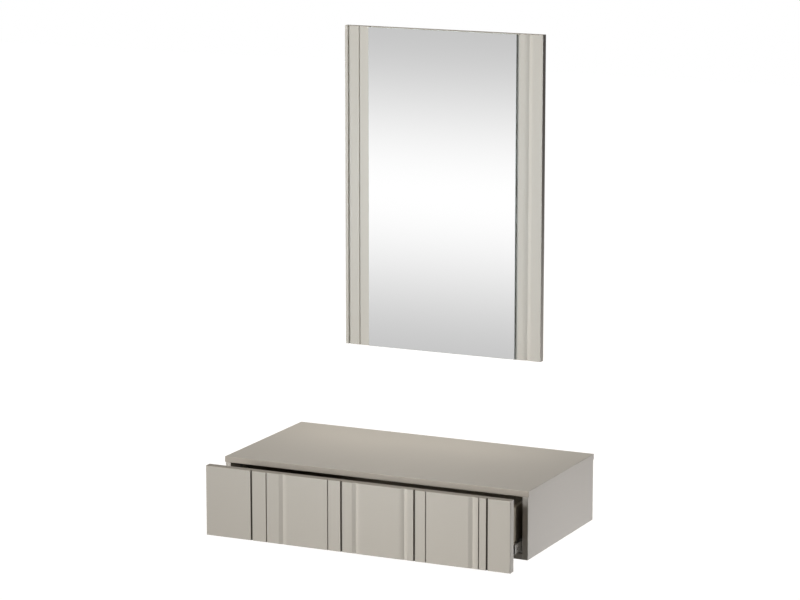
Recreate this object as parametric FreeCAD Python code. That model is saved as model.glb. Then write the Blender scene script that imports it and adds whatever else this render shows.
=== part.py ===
import FreeCAD, Part
import math
import os

Vector = FreeCAD.Vector

# Wall-hung dressing table: a low cabinet with one wide drawer, and a mirror that hangs above it.
# X runs across, -Y to the front and +Z up. The wall is the plane Y = 0, and the origin lies
# midway between the screw holes of the two wall plates. All sizes are in millimetres.

# Cabinet
cabinet_width = 900.0
cabinet_depth = 455.0
cabinet_height = 186.0
hang_height = 110.0          # origin above the cabinet's underside
top_thickness = 16.0
side_thickness = 16.0
floor_thickness = 16.0
top_overhang = 2.0           # top past each side
edge_round = 1.0             # rounding of the banded edges
back_thickness = 3.0
back_inset = 18.0            # back sheet to the wall
back_groove_depth = 8.0
back_play = 0.3              # room round the back sheet in its grooves
notch_width = 50.0           # cut-out of the back sheet beside each hanger
notch_height = 85.0

# Drawer front, milled from one board
front_thickness = 22.0
front_reveal = 1.0           # side panel past the front's end
front_drop = 7.0             # grip edge below the cabinet
front_gap = 2.0              # shut front to cabinet, as thick as the bumpers
front_edge_round = 1.5
open_distance = 90.0         # how far the drawer stands open at rest

# Relief of the front: places are shares of its width from the left end
deep_groove_shares = (0.1545, 0.455, 0.6935, 0.926)
fine_groove_shares = (0.205, 0.4105, 0.7305, 0.900)
right_slope_shares = (0.2595, 0.5025, 0.8795)    # bevel on the left, round shoulder on the right
left_slope_shares = (0.6595,)                    # the same, turned round
deep_groove_width = 5.5
deep_groove_depth = 5.0
fine_groove_width = 3.0
fine_groove_depth = 3.5
groove_floor_round = 1.0
milling_margin = 1.0         # cutters past the board's face
bevel_run = 11.0
shoulder_run = 15.0
slope_depth = 3.0

# Drawer box
box_side_thickness = 12.0
box_back_thickness = 12.0
box_length = 410.0
box_height = 124.0
box_lift = 21.0              # box above the cabinet's underside
sheet_thickness = 3.0
sheet_lift = 8.0             # bottom sheet above the box's lower edge
sheet_groove_depth = 6.0
sheet_play = 0.2             # room round the bottom sheet in its grooves

# Telescopic ball slides
slide_length = 400.0
slide_height = 35.0
slide_thickness = 12.7
slide_lift = 37.0            # slide's middle line above the cabinet's underside
slide_setback = 3.0          # slide behind the cabinet's front edge
slide_metal = 1.2
slide_bend = 0.8             # inner radius of the folded corners
outer_flange = 9.2           # outer member's depth from the cabinet side
middle_web_offset = 2.2      # middle member's back from the cabinet side
middle_flange = 10.2         # middle member's front edge from the cabinet side
inner_flange = 4.6           # inner member's rear edge from the cabinet side
middle_hole_radius = 2.2
middle_hole_places = (17.0, 29.0)                # behind the middle member's front end
ball_radius = 1.5
ball_play = 0.1
race_depth = 0.3             # how deep the ball tracks are pressed into the flanges
ball_line = 6.6              # ball centres from the cabinet side
cage_metal = 0.4
cage_length = 180.0
cage_start = 110.0           # cage behind the front ends of the shut slide
cage_lip = 2.8               # cage past the ball centres
outer_cage_offset = 1.5      # cage backs from the cabinet side
inner_cage_offset = 3.8
balls_per_row = 6
ball_pitch = 30.0
middle_share = 0.5           # travel of each member for one step of the drawer
outer_cage_share = 0.25
inner_cage_share = 0.75

# Cam fittings and dowels
cam_radius = 7.5
cam_floor = 3.0              # wood left under a cam
cam_setback = 24.0           # cam centre to the board's edge
cam_socket_radius = 2.2
cam_socket_depth = 2.5
bolt_head_radius = 3.2
bolt_head_length = 3.0
bolt_neck_radius = 2.0
bolt_neck_length = 5.0
bolt_shank_radius = 3.0
bolt_thread_radius = 2.5
bolt_thread_length = 10.0
bore_play = 0.15             # radial room round every buried fitting
dowel_radius = 4.0
dowel_length = 30.0
dowel_bite = 11.0            # dowel's length inside the board that it meets face on
front_joint_margin = 60.0    # front row of fittings behind the cabinet's front
rear_joint_margin = 120.0    # rear row of fittings before the wall
dowel_spacing = 32.0         # dowel beside its cam fitting
box_joint_low = 50.0         # the front's two rows of fittings above the box's lower edge
box_joint_high = 100.0

# Screws
screw_radius = 1.75
screw_head_radius = 3.2
screw_head_height = 1.4
slide_screw_length = 10.0
slide_screw_margin = 35.0    # first and last screw from the slide's ends
spare_hole_offset = 20.0     # unused hole of the outer member behind its front end
back_screw_length = 35.0
back_screw_margin = 25.0     # box screws from the upper and lower edge of its back
sheet_screw_length = 14.0
sheet_screw_spacing = 240.0
hanger_screw_radius = 3.1
hanger_screw_head_radius = 4.5
hanger_screw_head_height = 2.0
hanger_screw_length = 12.0

# Bumpers on the back of the front
bumper_radius = 4.0
bumper_low = 30.0            # above the cabinet's underside
bumper_high = 140.0

# Hangers and wall plates
hanger_metal = 2.5
hanger_reach = 42.0          # hook's width from the cabinet side
hanger_bottom = -20.0
hanger_front = 85.0          # side flange's front edge before the wall
hanger_bend = 1.0
hook_gap = 0.8               # hook's lip to the wall
hook_play = 0.5              # hook to the plate's tongue, each side
hook_lip_height = 18.0
hanger_screw_places = ((35.0, -8.0), (70.0, -8.0), (70.0, 30.0))    # before the wall, above the origin
plate_metal = 2.5
plate_width = 36.0
plate_play = 2.0             # plate to the hanger's side flange
plate_bottom = -22.0
plate_step_start = 20.0      # the plate steps away from the wall between these heights
plate_step_end = 26.0
plate_top = 44.0
plate_hole_radius = 3.25
plate_hole_pitch = 24.0
plate_corner_round = 3.0

# Mirror
mirror_width = 594.0
mirror_height = 897.0
mirror_thickness = 19.0
mirror_gap = 246.0           # above the cabinet's top
strip_width = 75.0           # milled strip beside the glass
mirror_deep_groove = 11.7    # from the board's left end
mirror_fine_groove = 44.8
mirror_slope = 41.0          # from the board's right end
glass_thickness = 4.0
glass_reveal = 1.0           # board past the glass at top and bottom
glass_edge_round = 1.2
tape_thickness = 2.0
tape_width = 20.0
tape_margin = 45.0           # tape from the glass's ends and its own middle line from the sides
tape_count = 4
keyhole_spacing = 400.0
keyhole_margin = 120.0       # hanger plates below the board's top
keyhole_plate_width = 44.0
keyhole_plate_height = 22.0
keyhole_metal = 2.0
keyhole_play = 0.2
keyhole_round = 3.0
keyhole_entry_radius = 4.5
keyhole_slot_radius = 2.5
keyhole_rise = 7.0           # slot's upper end above the entry's middle
keyhole_pocket_width = 16.0
keyhole_pocket_height = 18.0
keyhole_pocket_depth = 9.0
keyhole_screw_offset = 16.0
keyhole_screw_length = 12.0

# Places worked out from the sizes
base = -hang_height
side_outer = cabinet_width / 2 - top_overhang
side_inner = side_outer - side_thickness
inner_top = base + cabinet_height - top_thickness
cabinet_front = -cabinet_depth
back_face = -back_inset
front_half = side_outer - front_reveal
front_width = 2 * front_half
front_bottom = base - front_drop
front_height = cabinet_height + front_drop
front_back = cabinet_front - front_gap
front_face = front_back - front_thickness
box_half = side_inner - slide_thickness
box_inner = box_half - box_side_thickness
box_bottom = base + box_lift
box_top = box_bottom + box_height
box_rear = front_back + box_length
sheet_bottom = box_bottom + sheet_lift
sheet_top = sheet_bottom + sheet_thickness
slide_level = base + slide_lift
slide_front = cabinet_front + slide_setback
joint_rows = (cabinet_front + front_joint_margin, -rear_joint_margin)
mirror_bottom = base + cabinet_height + mirror_gap
mirror_top = mirror_bottom + mirror_height
glass_half = mirror_width / 2 - strip_width

across = Vector(1, 0, 0)
rearward = Vector(0, 1, 0)
forward = Vector(0, -1, 0)
up = Vector(0, 0, 1)
down = Vector(0, 0, -1)
tiny = 1e-6


def box(x0, x1, y0, y1, z0, z1):
    """Square block between two corners."""
    return Part.makeBox(x1 - x0, y1 - y0, z1 - z0, Vector(x0, y0, z0))


def outline(corners, place):
    """Flat face inside corners (a, b, radius). A corner with a radius becomes a tangent arc."""
    flat = [Vector(a, b, 0) for a, b, _ in corners]
    edges = []
    starts = []
    ends = []
    for index, (_, _, radius) in enumerate(corners):
        corner = flat[index]
        back = (flat[index - 1] - corner).normalize()
        ahead = (flat[(index + 1) % len(flat)] - corner).normalize()
        half = back.getAngle(ahead) / 2
        reach = radius / math.tan(half)
        starts.append(corner + back * reach)
        ends.append(corner + ahead * reach)
        if radius > 0:
            crown = corner + (back + ahead).normalize() * (radius / math.sin(half) - radius)
            points = [place(point.x, point.y) for point in (starts[-1], crown, ends[-1])]
            edges.append(Part.Arc(*points).toShape())
    for index, end in enumerate(ends):
        start = starts[(index + 1) % len(starts)]
        if (start - end).Length > tiny:
            edges.append(Part.makeLine(place(end.x, end.y), place(start.x, start.y)))
    return Part.Face(Part.Wire(Part.__sortEdges__(edges)))


def turned(start, direction, steps):
    """Stepped round bar: each step is a radius and a length, one after another along direction."""
    place = Vector(start)
    bars = []
    for radius, length in steps:
        bars.append(Part.makeCylinder(radius, length, place, direction))
        place = place + direction * length
    return bars[0].fuse(bars[1:]).removeSplitter() if len(bars) > 1 else bars[0]


def countersunk(point, direction, length):
    """Flat-headed screw with its head's face at point."""
    head = Part.makeCone(screw_head_radius, screw_radius, screw_head_height, point, direction)
    return head.fuse(turned(point, direction, [(screw_radius, length)])).removeSplitter()


def countersink(point, direction, length):
    """Hole that a flat-headed screw sits in."""
    mouth_radius = screw_head_radius + bore_play
    throat_radius = screw_radius + bore_play
    mouth = Part.makeCone(mouth_radius, throat_radius, screw_head_height, point, direction)
    return mouth.fuse(turned(point, direction, [(throat_radius, length + bore_play)]))


def mirrored(shape):
    """The same piece on the other side of the middle plane."""
    return shape.mirror(Vector(0, 0, 0), across)


def on_both_sides(shapes):
    """Right-hand pieces followed by their left-hand twins."""
    return shapes + [mirrored(shape) for shape in shapes]


def rounded(board, radius, wanted):
    """Board with the edges rounded whose middle point is wanted."""
    return board.makeFillet(radius, [edge for edge in board.Edges if wanted(edge.CenterOfMass)])


def save(name, shapes):
    """Write one node: a single solid, or several that share a node."""
    whole = shapes[0] if len(shapes) == 1 else Part.makeCompound(shapes)
    whole.exportStep("parts/" + name + ".step")


def save_pair(name, right):
    """Write a right-hand piece and its left-hand twin as two nodes."""
    save(name + "_right", [right])
    save(name + "_left", [mirrored(right)])


def cam_joint(face_point, inward, pull, thickness):
    """Cam, bolt, bores for the board that holds the cam, and bore for the board that it draws up.

    The cam's face is at face_point, inward points into its board, and pull along the bolt.
    """
    depth = thickness - cam_floor
    line = face_point + inward * (thickness / 2)
    neck = bolt_head_length + bolt_neck_length
    bolt = turned(line, pull, [
        (bolt_head_radius, bolt_head_length),
        (bolt_neck_radius, bolt_neck_length),
        (bolt_shank_radius, cam_setback - neck),
        (bolt_thread_radius, bolt_thread_length),
    ])
    cam = turned(face_point, inward, [(cam_radius, depth)])
    head_room = bolt_head_radius + bore_play
    cam = cam.cut(turned(line - pull * bolt_head_radius, pull, [(head_room, 2 * cam_radius)]))
    cam = cam.cut(turned(face_point, inward, [(cam_socket_radius, cam_socket_depth)]))
    holder_bores = [
        turned(face_point, inward, [(cam_radius + bore_play, depth + bore_play)]),
        turned(line, pull, [(head_room, cam_setback)]),
    ]
    thread_end = cam_setback + bolt_thread_length + bore_play
    mate_bore = turned(line, pull, [(bolt_thread_radius + bore_play, thread_end)])
    return cam, bolt, holder_bores, mate_bore


def dowel_joint(meeting_point, into_face):
    """Dowel and its bore where two boards meet; into_face points into the board met face on."""
    start = meeting_point - into_face * (dowel_length - dowel_bite)
    dowel = turned(start, into_face, [(dowel_radius, dowel_length)])
    bore_steps = [(dowel_radius + bore_play, dowel_length + 2 * bore_play)]
    bore = turned(start - into_face * bore_play, into_face, bore_steps)
    return dowel, bore


def cabinet_joints():
    """Fittings of the right-hand side, with the bores that they need in the top, side and floor."""
    cams, bolts, dowels = [], [], []
    top_bores, side_bores, floor_bores = [], [], []
    side_middle = side_outer - side_thickness / 2
    floor_middle = base + floor_thickness / 2
    for row in joint_rows:
        upper = Vector(side_inner, row, inner_top - cam_setback)
        cam, bolt, holder_bores, mate_bore = cam_joint(upper, across, up, side_thickness)
        cams.append(cam)
        bolts.append(bolt)
        side_bores += holder_bores
        top_bores.append(mate_bore)
        lower = Vector(side_inner - cam_setback, row, base + floor_thickness)
        cam, bolt, holder_bores, mate_bore = cam_joint(lower, down, across, floor_thickness)
        cams.append(cam)
        bolts.append(bolt)
        floor_bores += holder_bores
        side_bores.append(mate_bore)
        dowel, bore = dowel_joint(Vector(side_middle, row + dowel_spacing, inner_top), up)
        dowels.append(dowel)
        side_bores.append(bore)
        top_bores.append(bore)
        dowel, bore = dowel_joint(Vector(side_inner, row + dowel_spacing, floor_middle), across)
        dowels.append(dowel)
        side_bores.append(bore)
        floor_bores.append(bore)
    return cams, bolts, dowels, top_bores, side_bores, floor_bores


def back_groove(x0, x1, z0, z1):
    """Slot for the back sheet."""
    return box(x0, x1, back_face - back_thickness - back_play, back_face + back_play, z0, z1)


def top_panel(bores):
    """Top board with its front and end edges rounded, and the back sheet's groove underneath."""
    upper = inner_top + top_thickness
    board = box(-cabinet_width / 2, cabinet_width / 2, cabinet_front, 0, inner_top, upper)
    middle = (inner_top + upper) / 2
    board = rounded(board, edge_round, lambda point: point.y < -tiny and abs(point.z - middle) > tiny)
    reach = side_inner + back_groove_depth
    return board.cut([back_groove(-reach, reach, inner_top, inner_top + back_groove_depth)] + bores)


def side_panel(bores):
    """Right-hand side board with its front edge rounded and the back sheet's groove inside."""
    board = box(side_inner, side_outer, cabinet_front, 0, base, inner_top)
    middle = (side_inner + side_outer) / 2
    board = rounded(board, edge_round,
                    lambda point: point.y < cabinet_front + tiny and abs(point.x - middle) > tiny)
    return board.cut([back_groove(side_inner, side_inner + back_groove_depth, base, inner_top)] + bores)


def bottom_panel(bores):
    """Floor board between the sides, with the back sheet's groove on top."""
    upper = base + floor_thickness
    board = box(-side_inner, side_inner, cabinet_front, 0, base, upper)
    middle = (base + upper) / 2
    board = rounded(board, edge_round,
                    lambda point: point.y < cabinet_front + tiny and abs(point.z - middle) > tiny)
    return board.cut([back_groove(-side_inner, side_inner, upper - back_groove_depth, upper)] + bores)


def back_panel():
    """Thin back sheet in the grooves, cut out at its two upper corners for the hangers."""
    half = side_inner + back_groove_depth - back_play
    low = base + floor_thickness - back_groove_depth + back_play
    high = inner_top + back_groove_depth - back_play
    notch_x = side_inner - notch_width
    notch_z = inner_top - notch_height
    corners = [
        (-half, low, 0), (half, low, 0), (half, notch_z, 0), (notch_x, notch_z, 0), (notch_x, high, 0),
        (-notch_x, high, 0), (-notch_x, notch_z, 0), (-half, notch_z, 0),
    ]
    face = outline(corners, lambda a, b: Vector(a, back_face, b))
    return face.extrude(forward * back_thickness)


def groove(middle, width, depth):
    """Section of a square groove with a rounded floor, open in front of the board."""
    left = middle - width / 2
    right = middle + width / 2
    floor = [(left, depth, groove_floor_round), (right, depth, groove_floor_round)]
    return [(left, -milling_margin, 0)] + floor + [(right, -milling_margin, 0)]


def slope(valley, turn):
    """Section of a shallow valley, a straight bevel on one side and a round shoulder on the other.

    The shoulder is an arc that runs out level with the board's face. Turn is 1 with the bevel on
    the left and -1 with it on the right.
    """
    half_angle = math.atan2(slope_depth, shoulder_run)
    radius = shoulder_run / math.sin(2 * half_angle)
    crest = shoulder_run - radius * math.tan(half_angle)
    bevel_end = valley - turn * bevel_run
    shoulder_end = valley + turn * shoulder_run
    return [
        (bevel_end, -milling_margin, 0), (bevel_end, 0, 0), (valley, slope_depth, 0),
        (valley + turn * crest, 0, radius), (shoulder_end, 0, 0), (shoulder_end, -milling_margin, 0),
    ]


def milled_board(left, width, face, thickness, low, height, cuts):
    """Upright board, rounded round its front face, with cuts milled along its whole height."""
    blank = box(left, left + width, face, face + thickness, low, low + height)
    blank = rounded(blank, front_edge_round, lambda point: point.y < face + tiny)
    sections = [outline(cut, lambda a, b: Vector(left + a, face + b, low)) for cut in cuts]
    return blank.cut([section.extrude(up * height) for section in sections])


def front_cuts():
    """Deep and fine grooves and shallow slopes of the drawer front."""
    cuts = [groove(share * front_width, deep_groove_width, deep_groove_depth)
            for share in deep_groove_shares]
    cuts += [groove(share * front_width, fine_groove_width, fine_groove_depth)
             for share in fine_groove_shares]
    cuts += [slope(share * front_width, 1) for share in right_slope_shares]
    cuts += [slope(share * front_width, -1) for share in left_slope_shares]
    return cuts


def sheet_groove(x0, x1, y0, y1):
    """Slot for the drawer's bottom sheet."""
    return box(x0, x1, y0, y1, sheet_bottom - sheet_play, sheet_top + sheet_play)


def drawer_joints():
    """Cams and bolts that hold the front to the right-hand box side, with their bores."""
    cams, bolts, side_bores, front_bores = [], [], [], []
    for level in (box_joint_low, box_joint_high):
        point = Vector(box_half, front_back + cam_setback, box_bottom + level)
        cam, bolt, holder_bores, mate_bore = cam_joint(point, -across, forward, box_side_thickness)
        cams.append(cam)
        bolts.append(bolt)
        side_bores += holder_bores
        front_bores.append(mate_bore)
    return cams, bolts, side_bores, front_bores


def back_screw_places():
    """Heads of the screws through the right-hand box side into the box's back."""
    row = box_rear - box_back_thickness / 2
    levels = (sheet_top + back_screw_margin, box_top - back_screw_margin)
    return [Vector(box_half, row, level) for level in levels]


def sheet_screw_places():
    """Heads of the screws through the bottom sheet into the lower edge of the box's back."""
    row = box_rear - box_back_thickness / 2
    return [Vector(step * sheet_screw_spacing, row, sheet_bottom) for step in (-1, 0, 1)]


def slide_screw_places(level):
    """Screws along a shut slide: its front, its middle and its rear."""
    places = (slide_screw_margin, slide_length / 2, slide_length - slide_screw_margin)
    return [Vector(level, slide_front + place, slide_level) for place in places]


def channel(back, edge, height):
    """Slide member: a folded channel with its web at back and its flanges out to edge.

    Both are distances from the right-hand cabinet side towards the drawer.
    """
    toward = 1 if edge > back else -1
    half = height / 2
    inside = half - slide_metal
    web = back + toward * slide_metal
    outer_bend = slide_bend + slide_metal
    corners = [
        (back, -half, outer_bend), (edge, -half, 0), (edge, -inside, 0), (web, -inside, slide_bend),
        (web, inside, slide_bend), (edge, inside, 0), (edge, half, 0), (back, half, outer_bend),
    ]
    face = outline(corners, lambda a, b: Vector(side_inner - a, slide_front, slide_level + b))
    return face.extrude(rearward * slide_length)


def ball_rows(height):
    """Levels of the two rows of balls that run inside a channel of this height."""
    reach = height / 2 - slide_metal - (ball_radius + ball_play - race_depth)
    return slide_level - reach, slide_level + reach


def race_cuts(levels):
    """Ball tracks along the whole slide."""
    radius = ball_radius + ball_play
    return [turned(Vector(side_inner - ball_line, slide_front, level), rearward, [(radius, slide_length)])
            for level in levels]


def nested_height(height):
    """Height of the member that runs on balls inside a channel of this height."""
    return height - 2 * slide_metal - 4 * (ball_radius + ball_play - race_depth)


def ball_cage(offset, height):
    """Folded strip that keeps two rows of balls apart, and the balls in it."""
    levels = ball_rows(height)
    low = levels[0] - cage_metal / 2
    high = levels[1] + cage_metal / 2
    edge = ball_line + cage_lip
    web = offset + cage_metal
    start = slide_front + cage_start
    corners = [
        (offset, low, 0), (edge, low, 0), (edge, low + cage_metal, 0), (web, low + cage_metal, 0),
        (web, high - cage_metal, 0), (edge, high - cage_metal, 0), (edge, high, 0), (offset, high, 0),
    ]
    face = outline(corners, lambda a, b: Vector(side_inner - a, start, b))
    strip = face.extrude(rearward * cage_length)
    first = start + cage_length / 2 - ball_pitch * (balls_per_row - 1) / 2
    centers = [Vector(side_inner - ball_line, first + step * ball_pitch, level)
               for level in levels for step in range(balls_per_row)]
    holes = [turned(center - up * ball_radius, up, [(ball_radius + ball_play, 2 * ball_radius)])
             for center in centers]
    balls = [Part.makeSphere(ball_radius, center) for center in centers]
    return strip.cut(holes), balls


def moved_out(shapes, share):
    """Pieces shifted from the shut drawer to where they stand at rest."""
    return [shape.translated(forward * (share * open_distance)) for shape in shapes]


def hanger():
    """Right-hand hanger: a flange on the cabinet side and a hook that drops over the wall plate's tongue."""
    tongue_back = hook_gap + hanger_metal + hook_play
    stem_back = tongue_back + plate_metal + hook_play
    stem_front = stem_back + hanger_metal
    hook_top = plate_top + hanger_metal
    lip_bottom = hook_top - hook_lip_height
    outside_bend = hanger_bend + hanger_metal
    corners = [
        (-stem_front, hanger_bottom, 0), (-stem_back, hanger_bottom, 0), (-stem_back, plate_top, 0),
        (-hook_gap - hanger_metal, plate_top, 0), (-hook_gap - hanger_metal, lip_bottom, 0),
        (-hook_gap, lip_bottom, 0), (-hook_gap, hook_top, outside_bend),
        (-stem_front, hook_top, outside_bend),
    ]
    hook_face = outline(corners, lambda a, b: Vector(side_inner - hanger_reach, a, b))
    hook = hook_face.extrude(across * hanger_reach)
    flange = box(side_inner - hanger_metal, side_inner, -hanger_front, -stem_back, hanger_bottom, hook_top)
    rim_middle = (hanger_bottom + hook_top) / 2
    flange = rounded(flange, plate_corner_round,
                     lambda point: point.y < tiny - hanger_front and abs(point.z - rim_middle) > tiny
                     and abs(point.x - side_inner + hanger_metal / 2) < tiny)
    return flange.fuse(hook).removeSplitter()


def hanger_screw(before_wall, level, room):
    """Coarse screw through the hanger's flange into the right-hand side; room widens it into its hole."""
    head = Vector(side_inner - hanger_metal - hanger_screw_head_height, -before_wall, level)
    steps = [
        (hanger_screw_head_radius, hanger_screw_head_height),
        (hanger_screw_radius + room, hanger_metal + hanger_screw_length + room),
    ]
    return turned(head, across, steps)


def wall_plate():
    """Right-hand wall plate: flat on the wall below, stepped forward above to a tongue for the hook."""
    step = hook_gap + hanger_metal + hook_play
    corners = [
        (-plate_metal, plate_bottom, 0), (0, plate_bottom, 0), (0, plate_step_start, 0),
        (-step, plate_step_end, 0), (-step, plate_top, 0), (-step - plate_metal, plate_top, 0),
        (-step - plate_metal, plate_step_end, 0), (-plate_metal, plate_step_start, 0),
    ]
    middle = plate_middle()
    face = outline(corners, lambda a, b: Vector(middle - plate_width / 2, a, b))
    plate = face.extrude(across * plate_width)
    plate = rounded(plate, plate_corner_round,
                    lambda point: abs(point.z - plate_bottom) < tiny
                    and abs(point.y + plate_metal / 2) < tiny)
    holes = [turned(Vector(middle, -plate_metal, side * plate_hole_pitch / 2), rearward,
                    [(plate_hole_radius, plate_metal)]) for side in (-1, 1)]
    return plate.cut(holes)


def plate_middle():
    """Middle line of the right-hand wall plate."""
    return side_inner - hanger_metal - plate_play - plate_width / 2


def bumpers():
    """Soft discs on the back of the front, opposite the right-hand side panel's edge."""
    middle = side_outer - side_thickness / 2
    return [turned(Vector(middle, front_back, base + level), rearward, [(bumper_radius, front_gap)])
            for level in (bumper_low, bumper_high)]


def keyhole_place():
    """Middle of the right-hand hanger plate on the mirror's back."""
    return Vector(keyhole_spacing / 2, 0, mirror_top - keyhole_margin)


def keyhole_blank(room):
    """Hanger plate without its holes; room widens it into its pocket."""
    middle = keyhole_place()
    half = keyhole_plate_width / 2 + room
    rise = keyhole_plate_height / 2 + room
    corners = [(-half, -rise, keyhole_round), (half, -rise, keyhole_round),
               (half, rise, keyhole_round), (-half, rise, keyhole_round)]
    face = outline(corners, lambda a, b: middle + Vector(a, 0, b))
    return face.extrude(forward * keyhole_metal)


def keyhole_screw_places():
    """Heads of the two screws that hold the right-hand hanger plate."""
    return [keyhole_place() + across * (side * keyhole_screw_offset) for side in (-1, 1)]


def keyhole_plate():
    """Right-hand hanger plate with its round entry and the slot above it."""
    middle = keyhole_place() - up * (keyhole_rise / 2)
    entry = turned(middle, forward, [(keyhole_entry_radius, keyhole_metal)])
    rise = turned(middle + up * keyhole_rise, forward, [(keyhole_slot_radius, keyhole_metal)])
    neck = box(middle.x - keyhole_slot_radius, middle.x + keyhole_slot_radius, -keyhole_metal, 0,
               middle.z, middle.z + keyhole_rise)
    screws = [countersink(point, forward, keyhole_screw_length) for point in keyhole_screw_places()]
    return keyhole_blank(0).cut([entry, rise, neck] + screws)


def mirror_board():
    """Board of the mirror: two milled strips, a groove that the pane's left edge covers, and
    pockets for the hanger plates behind."""
    left = -mirror_width / 2
    cuts = [
        groove(mirror_deep_groove, deep_groove_width, deep_groove_depth),
        groove(mirror_fine_groove, fine_groove_width, fine_groove_depth),
        groove(strip_width + deep_groove_width / 2, deep_groove_width, deep_groove_depth),
        slope(mirror_width - mirror_slope, -1),
    ]
    board = milled_board(left, mirror_width, -mirror_thickness, mirror_thickness, mirror_bottom,
                         mirror_height, cuts)
    middle = keyhole_place()
    pocket = box(middle.x - keyhole_pocket_width / 2, middle.x + keyhole_pocket_width / 2,
                 -keyhole_pocket_depth, 0,
                 middle.z - keyhole_pocket_height / 2, middle.z + keyhole_pocket_height / 2)
    screws = [countersink(point, forward, keyhole_screw_length) for point in keyhole_screw_places()]
    return board.cut(on_both_sides([keyhole_blank(keyhole_play), pocket] + screws))


def mirror_glass():
    """Silvered pane, its front arrises ground."""
    back = -mirror_thickness - tape_thickness
    face = back - glass_thickness
    pane = box(-glass_half, glass_half, face, back, mirror_bottom + glass_reveal, mirror_top - glass_reveal)
    return rounded(pane, glass_edge_round, lambda point: point.y < face + tiny)


def mirror_tape():
    """Upright tapes that stick the pane to the board."""
    first = tape_margin - glass_half
    pitch = -2 * first / (tape_count - 1)
    face = -mirror_thickness - tape_thickness
    low = mirror_bottom + glass_reveal + tape_margin
    high = mirror_top - glass_reveal - tape_margin
    middles = [first + step * pitch for step in range(tape_count)]
    return [box(middle - tape_width / 2, middle + tape_width / 2, face, -mirror_thickness, low, high)
            for middle in middles]


def build_cabinet():
    """Boards, back sheet and fittings of the cabinet."""
    cams, bolts, dowels, top_bores, side_bores, floor_bores = cabinet_joints()
    slide_screws = slide_screw_places(side_inner - slide_metal)
    side_bores += [countersink(point, across, slide_screw_length) for point in slide_screws]
    side_bores += [hanger_screw(before_wall, level, bore_play) for before_wall, level in hanger_screw_places]
    save("top_panel", [top_panel(on_both_sides(top_bores))])
    save_pair("side_panel", side_panel(side_bores))
    save("bottom_panel", [bottom_panel(on_both_sides(floor_bores))])
    save("back_panel", [back_panel()])
    save("cabinet_cams", on_both_sides(cams))
    save("cabinet_cam_bolts", on_both_sides(bolts))
    save("cabinet_dowels", on_both_sides(dowels))


def build_hangers():
    """Hangers, their screws and the wall plates that they hook over."""
    holes = [hanger_screw(before_wall, level, bore_play) for before_wall, level in hanger_screw_places]
    screws = [hanger_screw(before_wall, level, 0) for before_wall, level in hanger_screw_places]
    save_pair("hanger", hanger().cut(holes))
    save("hanger_screws", on_both_sides(screws))
    save_pair("wall_plate", wall_plate())


def build_drawer():
    """Front, box and fittings of the drawer."""
    cams, bolts, side_bores, front_bores = drawer_joints()
    back_screws = back_screw_places()
    sheet_screws = sheet_screw_places()
    back_holes = [countersink(point, -across, back_screw_length) for point in back_screws]
    sheet_holes = [countersink(point, up, sheet_screw_length) for point in sheet_screws]
    slide_holes = [countersink(point, -across, slide_screw_length)
                   for point in slide_screw_places(box_half + slide_metal)]
    groove_reach = box_inner + sheet_groove_depth
    front = milled_board(-front_half, front_width, front_face, front_thickness, front_bottom, front_height,
                         front_cuts())
    front_slot = sheet_groove(-groove_reach, groove_reach, front_back - sheet_groove_depth, front_back)
    front = front.cut([front_slot] + on_both_sides(front_bores))
    side = box(box_inner, box_half, front_back, box_rear, box_bottom, box_top)
    side_middle = (box_inner + box_half) / 2
    side = rounded(side, edge_round,
                   lambda point: point.z > box_top - tiny and abs(point.x - side_middle) > tiny)
    side_slot = sheet_groove(box_inner, groove_reach, front_back, box_rear)
    side = side.cut([side_slot] + side_bores + back_holes + slide_holes)
    back = box(-box_inner, box_inner, box_rear - box_back_thickness, box_rear, sheet_top, box_top)
    back = back.cut(on_both_sides(back_holes) + sheet_holes)
    sheet_half = groove_reach - sheet_play
    sheet_front = front_back - sheet_groove_depth + sheet_play
    sheet = box(-sheet_half, sheet_half, sheet_front, box_rear, sheet_bottom, sheet_top).cut(sheet_holes)
    side = moved_out([side], 1)[0]
    save("drawer_front", moved_out([front], 1))
    save_pair("drawer_side", side)
    save("drawer_back", moved_out([back], 1))
    save("drawer_bottom", moved_out([sheet], 1))
    save("drawer_cams", moved_out(on_both_sides(cams), 1))
    save("drawer_cam_bolts", moved_out(on_both_sides(bolts), 1))
    screws = [countersunk(point, -across, back_screw_length) for point in back_screws]
    save("drawer_back_screws", moved_out(on_both_sides(screws), 1))
    screws = [countersunk(point, up, sheet_screw_length) for point in sheet_screws]
    save("drawer_bottom_screws", moved_out(screws, 1))
    save("front_bumpers", moved_out(on_both_sides(bumpers()), 1))


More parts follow.
